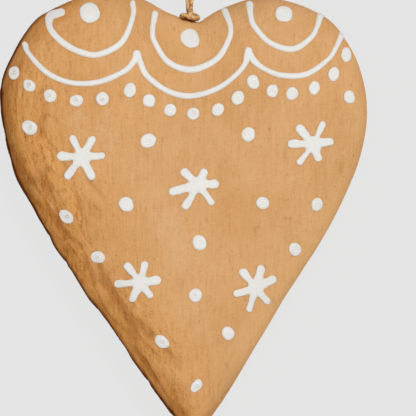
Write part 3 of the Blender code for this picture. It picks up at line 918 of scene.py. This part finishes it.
def heart_shell(form, material):
    """Two sheets joined at the rim, folded and wrinkled like painted paper."""
    bm = new_bmesh(*HEART_MARKS)
    flow_layer = bm.verts.layers.float_vector.new("flow")
    face_of_heart(bm, form, form.front)
    face_of_heart(bm, form, form.back)
    weld(bm)
    bm.normal_update()
    bm.verts.ensure_lookup_table()
    verts = list(bm.verts)
    places = coordinates(bm.verts)
    normals = np.array([vert.normal for vert in verts])
    offset, folds = form.skin(places)

    pit_depth = np.zeros(len(places))
    for x, y, breadth, length, deep in PITS:
        across = (places[:, 0] - x * MM) / (breadth * MM)
        along = (places[:, 1] - y * MM) / (length * MM)
        dip = np.exp(-1.5 * (across ** 2 + along ** 2))
        pit_depth = np.maximum(pit_depth, deep * dip * (normals[:, 2] > 0))
    offset -= PIT_DEPTH * pit_depth
    resting = ease(places[:, 2], 0.02, 1.2)
    offset *= np.where(normals[:, 2] < 0, resting, 1.0)
    moved = places + normals * offset[:, None]

    above = (places[:, 2] - RIM_LEVEL - CORD_HOLE_RISE) / CORD_HOLE_STRETCH
    from_hole = np.hypot(places[:, 0] - form.notch[0], above) / CORD_HOLE_RADIUS
    in_hole = np.clip(1.0 - from_hole ** 4, 0.0, 1.0) ** 0.6 * (places[:, 1] > 0.3 * HEART_LENGTH)
    moved[:, 1] -= CORD_HOLE_DEPTH * in_hole
    moved[:, 2] = np.maximum(moved[:, 2], 0.0)
    put(verts, moved)

    plan = places[:, :2]
    depth = form.read(form.depths, plan)
    flow = np.column_stack((depth, form.round_rim(plan), places[:, 2] * 0.5))
    for vert, value in zip(verts, flow):
        vert[flow_layer] = Vector(value)
    folded = foldedness(places)
    # Painted shade in the fold valleys, the pits and the cord hole, and painted highlight on the
    # fold ridges
    valley = np.clip(-folds / FOLD_DEPTH * 0.9 - 0.1, 0.0, 1.0) + 0.7 * pit_depth + in_hole
    ridge = np.clip(folds / FOLD_DEPTH * 1.2 - 0.1, 0.0, 1.0)
    # Painted shade near the left rim
    rim = rim_shade(form, places, depth)
    # Painted light near the right rim and in a few places
    pale = paleness(form, plan, depth) * (normals[:, 2] > -0.2)
    for name, values in zip(HEART_MARKS, (0.15 + 0.85 * folded, valley, ridge, rim, pale)):
        mark(bm, verts, name, values)
    finish_piece("painted_heart", bm, material, "heart_body")


def smooth_path(points, step):
    """Points every step along a curve that passes through the given ones."""
    points = np.array(points)
    padded = np.vstack((2 * points[0] - points[1], points, 2 * points[-1] - points[-2]))
    fine = []
    for index in range(1, len(padded) - 2):
        a, b, c, d = padded[index - 1:index + 3]
        for t in np.linspace(0, 1, 12, endpoint=False):
            fine.append(0.5 * (2 * b + (c - a) * t + (2 * a - 5 * b + 4 * c - d) * t ** 2
                               + (3 * b - a - 3 * c + d) * t ** 3))
    fine.append(points[-1])
    fine = np.array(fine)
    gone = lengths_along(fine[:, :3])
    wanted = np.linspace(0, gone[-1], max(2, round(gone[-1] / step) + 1))
    return np.column_stack([np.interp(wanted, gone, axis) for axis in fine.T])


def drawn_out(bm, path_count, sides, end_rings):
    """Adds a closed tube's sheet, to be laid along a path.

    For each vertex it gives the angle round, the path's point, the tube's size
    there from 0 to 1 and, on its round ends, how far over the end it lies.
    """
    rings = path_count - 1 + 2 * end_rings
    made, columns, rows = sheet(bm, sides, rings)
    angle = 2 * math.pi * columns / sides
    index = np.clip(rows - end_rings, 0, path_count - 1).astype(int)
    bend = np.clip(np.minimum(rows, rings - rows) / end_rings, 0.0, 1.0) * math.pi / 2
    size = np.sin(bend)
    over = np.cos(bend) * np.where(rows < end_rings, -1.0, 1.0)
    over[(rows >= end_rings) & (rows <= rings - end_rings)] = 0.0
    return made, angle, index, size, over


def drawn_stroke(bm, path, widths):
    """Adds a flat-topped bead of paint along a path, with round ends."""
    made, angle, index, size, over = drawn_out(bm, len(path), STROKE_SIDES, STROKE_END_RINGS)
    heading = unit(np.gradient(path, axis=0))
    ahead = heading[index]
    side = np.column_stack((-ahead[:, 1], ahead[:, 0]))
    half = widths[index] / 2
    cos = np.cos(angle)
    sin = np.sin(angle)
    out = np.sign(cos) * np.abs(cos) ** 0.8 * half * size
    plan = path[index] + ahead * (over * half)[:, None] + side * out[:, None]
    round_over = np.abs(sin) ** 0.6 * size ** 0.6
    high = PAINT_LIFT + PAINT_RELIEF
    height = np.where(sin >= 0, high * round_over, -PAINT_SINK * round_over)
    put(made, np.column_stack((plan, height)))


def stroke_shape(shares, seed):
    """A stroke's path and its width all along it, a little unsteady."""
    points = [(*seen_place(across, along), width * MM) for across, along, width in shares]
    path = smooth_path(np.array([(x, y, 0.0, width) for x, y, width in points]), 0.25 * MM)
    steps = np.arange(len(path))
    wander = noise_of(steps * 0.09, seed * 5.1, 0.0)
    fine = noise_of(steps * 0.31, seed * 3.3, 4.0)
    return path[:, :2], path[:, 3] * (1.0 + 0.07 * wander + 0.04 * fine)


def inset_from_strokes(flat, strokes):
    """How far each point lies inside the edge of the strokes."""
    inset = np.full(len(flat), -1.0)
    for path, widths in strokes:
        for first in range(0, len(flat), BATCH):
            some = flat[first:first + BATCH, :2]
            far = np.linalg.norm(some[:, None] - path[None], axis=2)
            near = far.argmin(axis=1)
            here = widths[near] / 2 - far[np.arange(len(some)), near]
            inset[first:first + BATCH] = np.maximum(inset[first:first + BATCH], here)
    return inset


def fused(bm):
    """The closed shapes in bm as one skin, smoothed where they meet."""
    mesh = as_mesh("fusing", bm)
    block = add_object("fusing", mesh)
    remesh = block.modifiers.new("fuse", "REMESH")
    remesh.mode = "VOXEL"
    remesh.voxel_size = FUSE_VOXEL
    smooth = block.modifiers.new("smooth", "SMOOTH")
    smooth.factor = 0.5
    smooth.iterations = 5
    graph = bpy.context.evaluated_depsgraph_get()
    result = bpy.data.meshes.new_from_object(block.evaluated_get(graph))
    bpy.data.objects.remove(block, do_unlink=True)
    bpy.data.meshes.remove(mesh)
    out = new_bmesh("inset", "speck")
    out.from_mesh(result)
    bpy.data.meshes.remove(result)
    return out


def paint_strokes(name, lines, seed, form, material):
    """One stroke, or several that run into one another."""
    bm = new_bmesh("inset", "speck")
    strokes = [stroke_shape(shares, seed + number) for number, shares in enumerate(lines)]
    for path, widths in strokes:
        drawn_stroke(bm, path, widths)
    weld(bm)
    if len(lines) > 1:
        bm = fused(bm)
    flat = coordinates(bm.verts)
    mark(bm, bm.verts, "inset", inset_from_strokes(flat, strokes))
    put(bm.verts, form.over_front(flat))
    finish_piece(name, bm, material, name)


def drop_sheet(bm, sides, top_rings):
    """Adds a closed drop's sheet.

    For each vertex it gives the angle round, the reach from 0 in the middle to
    1 at the edge, and whether it is on top.
    """
    rings = top_rings + SOLE_RINGS
    made, columns, rows = sheet(bm, sides, rings)
    angle = 2 * math.pi * columns / sides
    on_top = rows <= top_rings
    reach = np.where(on_top, rows / top_rings, (rings - rows) / SOLE_RINGS)
    return made, angle, reach, on_top


def paint_height(inset, edge=PAINT_EDGE):
    """The paint's height at a given way in from its edge: steep, then flat."""
    share = np.clip(inset / edge, 0.0, 1.0)
    return PAINT_LIFT + PAINT_RELIEF * (1.0 - (1.0 - share) ** 2.6) ** (1 / 2.6)


def paint_dot(name, spot, seed, form, material):
    """A drop of paint that dried in rings round a small peak or dimple."""
    across, along, length, breadth, turn, stained = spot
    bm = new_bmesh("inset", "speck")
    made, angle, reach, on_top = drop_sheet(bm, DOT_SIDES, DOT_RINGS)
    reach = np.where(on_top, 1.0 - (1.0 - reach) ** 1.35, reach)
    wobble = noise_of(np.cos(angle) * 1.2, np.sin(angle) * 1.2, seed * 3.7)
    wobble += 0.4 * noise_of(np.cos(angle) * 3.0, np.sin(angle) * 3.0, seed * 1.9)
    stretch = reach * (1.0 + DOT_WOBBLE * wobble)
    long_way = length / 2 * MM * stretch * np.cos(angle)
    short_way = breadth / 2 * MM * stretch * np.sin(angle)
    radius = (length + breadth) / 4 * MM
    inset = (1.0 - reach) * radius
    peak_long = DOT_PEAK_SHIFT * radius * math.cos(seed)
    peak_short = DOT_PEAK_SHIFT * radius * math.sin(seed)
    from_peak = np.hypot(long_way - peak_long, short_way - peak_short)
    rings = np.cos(from_peak / RING_SPACING * 2 * math.pi) * np.exp(-(from_peak / RING_REACH) ** 2)
    height = paint_height(inset, 0.5 * MM) * (0.88 + 0.12 * (1 - reach ** 2))
    ring_depth = RING_RELIEF * (0.25 + 0.75 * min(1.0, stained * 2.5))
    height += ring_depth * rings * np.clip(inset / (0.4 * MM), 0.0, 1.0)
    height = np.where(on_top, height, -PAINT_SINK)
    cos, sin = way(turn)
    flat = np.column_stack((
        long_way * cos - short_way * sin, long_way * sin + short_way * cos, height))
    flat[:, :2] += seen_place(across, along)
    put(made, form.over_front(flat))
    mark(bm, made, "inset", inset)
    round_peak = np.arctan2(short_way - peak_short, long_way - peak_long)
    broken = 0.5 + 0.5 * np.sin(round_peak * 2 + seed) * np.sin(round_peak * 5 + seed * 2)
    stain = broken * np.exp(-((from_peak - STAIN_RADIUS) / STAIN_BREADTH) ** 2)
    stain += 0.5 * np.exp(-(from_peak / STAIN_BREADTH) ** 2)
    mark(bm, made, "speck", stain * stained * on_top)
    weld(bm)
    finish_piece(name, bm, material, name)


def inside_snowflake(local, arms, seed):
    """How far points lie inside a snowflake's edge, negative outside it."""
    total = np.exp(-(np.hypot(local[:, 0], local[:, 1]) - FLAKE_HUB) / FLAKE_BLEND)
    for length, waist, end, direction in arms:
        ahead = way(direction)
        run = local @ ahead
        side = local @ np.array((-ahead[1], ahead[0]))
        reach = (length - end / 2) * MM
        share = np.clip(run / reach, 0.0, 1.0)
        half = np.interp(share, (0.45, 0.85), (waist / 2, end / 2)) * MM
        away = np.hypot(run - share * reach, side)
        total = total + np.exp(-np.clip((away - half) / FLAKE_BLEND, -60, 60))
    places = np.column_stack((local, np.zeros(len(local))))
    return FLAKE_BLEND * np.log(total) + 0.13 * MM * noise_at(places, (0.8, 0.8, 0.8), seed)


def paint_snowflake(name, flake, seed, form, material):
    """Six arms that run together in the middle, their edge found along lines from it."""
    across, along, arms = flake
    turn = 2 * math.pi * np.arange(FLAKE_SIDES + 1) / FLAKE_SIDES
    ways = np.column_stack((np.cos(turn), np.sin(turn)))
    radii = np.linspace(*FLAKE_REACH, 151)
    grid = (ways[:, None] * radii[None, :, None]).reshape(-1, 2)
    inside = inside_snowflake(grid, arms, seed).reshape(len(ways), -1)
    last = len(radii) - 2 - np.argmax((inside > 0)[:, -2::-1], axis=1)
    rows = np.arange(len(ways))
    here = inside[rows, last]
    following = inside[rows, last + 1]
    edge = radii[last] + (radii[1] - radii[0]) * here / (here - following)
    edge[-1] = edge[0]

    bm = new_bmesh("inset", "speck")
    made, angle, reach, on_top = drop_sheet(bm, FLAKE_SIDES, FLAKE_RINGS)
    reach = np.where(on_top, 1.0 - (1.0 - reach) ** 1.5, reach)
    column = np.rint(angle / (2 * math.pi) * FLAKE_SIDES).astype(int)
    local = ways[column] * (edge[column] * reach)[:, None]
    inset = np.maximum(inside_snowflake(local, arms, seed), 0.0)
    inset = np.where(reach >= 1.0 - 1e-9, 0.0, inset)
    height = np.where(on_top, paint_height(inset), -PAINT_SINK)
    flat = np.column_stack((local + seen_place(across, along), height))
    put(made, form.over_front(flat))
    mark(bm, made, "inset", inset)
    weld(bm)
    finish_piece(name, bm, material, name)


def wound_tube(bm, path, radii, lay_length, groove_depth):
    """Adds a cord along a path in space: plies wound round one another, with closed ends."""
    made, angle, index, size, over = drawn_out(bm, len(path), CORD_SIDES, CORD_END_RINGS)
    heading = unit(np.gradient(path, axis=0))
    normal = np.cross(heading[0], (0.0, 0.0, 1.0))
    normals = []
    for ahead in heading:
        normal = unit(normal - ahead * normal.dot(ahead))
        normals.append(normal)
    normals = np.array(normals)
    gone = lengths_along(path)
    wave = np.cos(CORD_PLIES * (angle - gone[index] * 2 * math.pi / lay_length))
    groove = (np.clip(0.35 - wave, 0.0, 1.35) / 1.35) ** 1.6
    first = normals[index]
    ahead = heading[index]
    second = np.cross(ahead, first)
    across = first * np.cos(angle)[:, None] + second * np.sin(angle)[:, None]
    thick = radii[index] * size * (1.0 - groove_depth * groove)
    put(made, path[index] + ahead * (over * radii[index] * 0.6)[:, None] + across * thick[:, None])
    # Marks the grooves between the plies for the cord's painted shade
    mark(bm, made, "groove", groove)


def knot_and_loop(material):
    """The knot's two strands, wound round each other, and the cord's loop."""
    bm = new_bmesh("groove")
    for points in (KNOT_WRAP, KNOT_STRAND):
        path = smooth_path(np.array(points) * MM, 0.14 * MM)
        thinning = np.exp(-(lengths_along(path) / KNOT_THINNING_REACH) ** 2)
        radii = KNOT_STRAND_RADIUS - KNOT_STRAND_THINNING * thinning
        wound_tube(bm, path, radii, KNOT_LAY, KNOT_GROOVE)
    weld(bm)
    knot = finish_piece("tight_knot", bm, material, "hanging_knot")

    route = smooth_path(np.array(CORD_ROUTE) * MM, 0.33 * MM)
    route[:, 2] = np.maximum(route[:, 2], CORD_LYING_HEIGHT)
    bm = new_bmesh("groove")
    gone = lengths_along(route)
    from_end = np.minimum(gone, gone[-1] - gone)
    radii = np.interp(from_end, (0.0, CORD_END_TAPER), (CORD_END_RADIUS, CORD_DIAMETER / 2))
    wound_tube(bm, route, radii, CORD_LAY, CORD_GROOVE)
    weld(bm)
    loop = finish_piece("cotton_loop", bm, material, "hanging_cord")


# The stage

def sun(name, azimuth, elevation, energy, angle):
    """Adds a sun lamp that shines from this way."""
    light = bpy.data.lights.new(name, "SUN")
    light.energy = energy
    light.angle = math.radians(angle)
    lamp = add_object(name, light)
    flat, up = way(elevation)
    lamp.location = (*way(azimuth) * flat, up)
    lamp.rotation_euler = lamp.location.to_track_quat("Z", "Y").to_euler()


def set_stage():
    """The camera, the floor and the lights."""
    scene = bpy.context.scene
    lens = bpy.data.cameras.new("camera")
    camera = add_object("camera", lens)
    lens.lens = lens.sensor_width * (VIEW_DISTANCE - RIM_LEVEL) / VIEW_WIDTH
    camera.location = (*VIEW_MIDDLE, VIEW_DISTANCE)
    scene.camera = camera

    bm = bmesh.new()
    bmesh.ops.create_grid(bm, x_segments=1, y_segments=1, size=3.0)
    floor = add_object("floor", as_mesh("floor", bm))
    floor.data.materials.append(pale_floor())
    floor.visible_diffuse = False

    world = bpy.data.worlds.new("studio")
    world.use_nodes = True
    glow = world.node_tree.nodes["Background"].inputs
    glow["Color"].default_value = (1.0, 1.0, 1.0, 1.0)
    glow["Strength"].default_value = STUDIO_GLOW
    scene.world = world
    for name, light in SUNS.items():
        sun(name, *light)
    scene.view_settings.view_transform = "Standard"


def main():
    set_stage()
    knot_and_loop(waxed_cord())
    form = HeartForm()
    heart_shell(form, ginger_paint())
    white = white_paint()
    for number, (side, shares) in enumerate(INNER_ARCS.items()):
        paint_strokes(f"inner_arc_{side}", [shares], number, form, white)
    paint_strokes("outer_scallop", OUTER_ARCS.values(), SCALLOP_SEED, form, white)
    seed = FIRST_DOT_SEED
    for spots, name in ((BIG_DOTS, "big_dot"), (ROW_DOTS, "row_dot"), (LOOSE_DOTS, "loose_dot")):
        for number, spot in enumerate(spots, start=1):
            paint_dot(f"{name}_{number:02d}", spot, seed, form, white)
            seed += 1
    for number, flake in enumerate(SNOWFLAKES):
        paint_snowflake(
            f"snowflake_{number + 1}", flake, FIRST_FLAKE_SEED + number, form, white)


main()
